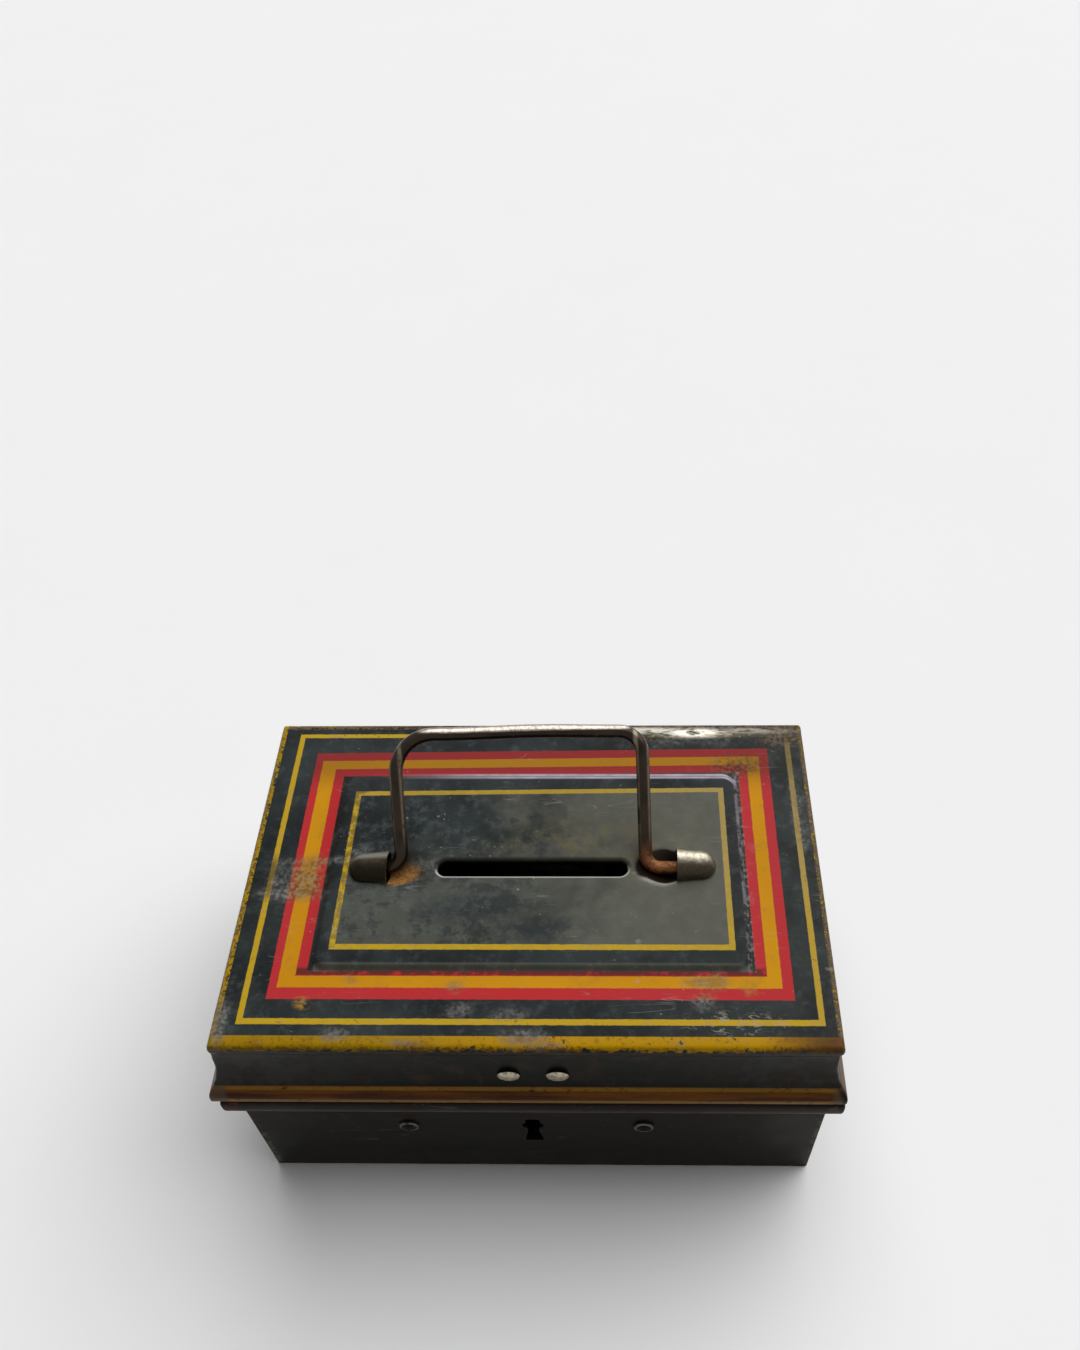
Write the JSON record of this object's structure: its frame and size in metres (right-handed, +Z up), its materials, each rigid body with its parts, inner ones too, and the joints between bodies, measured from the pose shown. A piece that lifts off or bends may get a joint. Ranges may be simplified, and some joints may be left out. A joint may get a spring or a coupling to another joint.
{
  "type": "money box",
  "caption": "Small black tinplate money box with striped lid, long coin slot, hinged wire handle between pressed hoods, riveted catch and lever lock with keyhole",
  "frame": {"origin": "middle of the flat underside of the box, where it rests on a table", "axes": "+X runs along the width to the right of the keyhole as seen from the front, +Y from the lock to the hinges, +Z up"},
  "size_m": [0.159, 0.1143, 0.1029],
  "materials": {
    "black_paint": "worn slate black enamel with yellow and red stripes on the lid",
    "bare_tinplate": "dull bare tinplate, stained at the edges",
    "plain_steel": "plain steel darkened with age",
    "bail_wire": "brown steel wire, rusty near its feet"
  },
  "bodies": {
    "box": {"body_shell": "black_paint", "hinge_left_body_leaf": "black_paint", "hinge_right_body_leaf": "black_paint", "bottom_pan": "bare_tinplate", "lock_case": "bare_tinplate", "lock_rivet_left": "bare_tinplate", "lock_rivet_right": "bare_tinplate", "bolt_spring": "plain_steel", "key_post": "plain_steel", "guide_pin_left": "plain_steel", "guide_pin_right": "plain_steel", "hinge_left_pin": "plain_steel", "hinge_right_pin": "plain_steel", "hinge_left_body_rivet_1": "plain_steel", "hinge_left_body_rivet_2": "plain_steel", "hinge_right_body_rivet_1": "plain_steel", "hinge_right_body_rivet_2": "plain_steel"},
    "lid": {"lid_shell": "black_paint", "catch_hook": "bare_tinplate", "catch_rivet_left": "bare_tinplate", "catch_rivet_right": "bare_tinplate", "hinge_left_lid_leaf": "black_paint", "hinge_right_lid_leaf": "black_paint", "hinge_left_lid_rivet_1": "plain_steel", "hinge_left_lid_rivet_2": "plain_steel", "hinge_right_lid_rivet_1": "plain_steel", "hinge_right_lid_rivet_2": "plain_steel"},
    "bail": {"bail_handle": "bail_wire"},
    "bolt": {"lock_bolt": "plain_steel"}
  },
  "joints": [
    {"name": "lid_hinge", "type": "hinge", "parent": "box", "child": "lid", "pos_m": [0, 0.0569, 0.0514], "axis": [-1, 0, 0], "range_deg": [0, 105]},
    {"name": "bail_pivot", "type": "hinge", "parent": "lid", "child": "bail", "pos_m": [0, 0.0005, 0.0768], "axis": [1, 0, 0], "range_deg": [0, 96]},
    {"name": "bolt_slide", "type": "slide", "parent": "box", "child": "bolt", "axis": [1, 0, 0], "range_m": [0, 0.0055]}
  ]
}
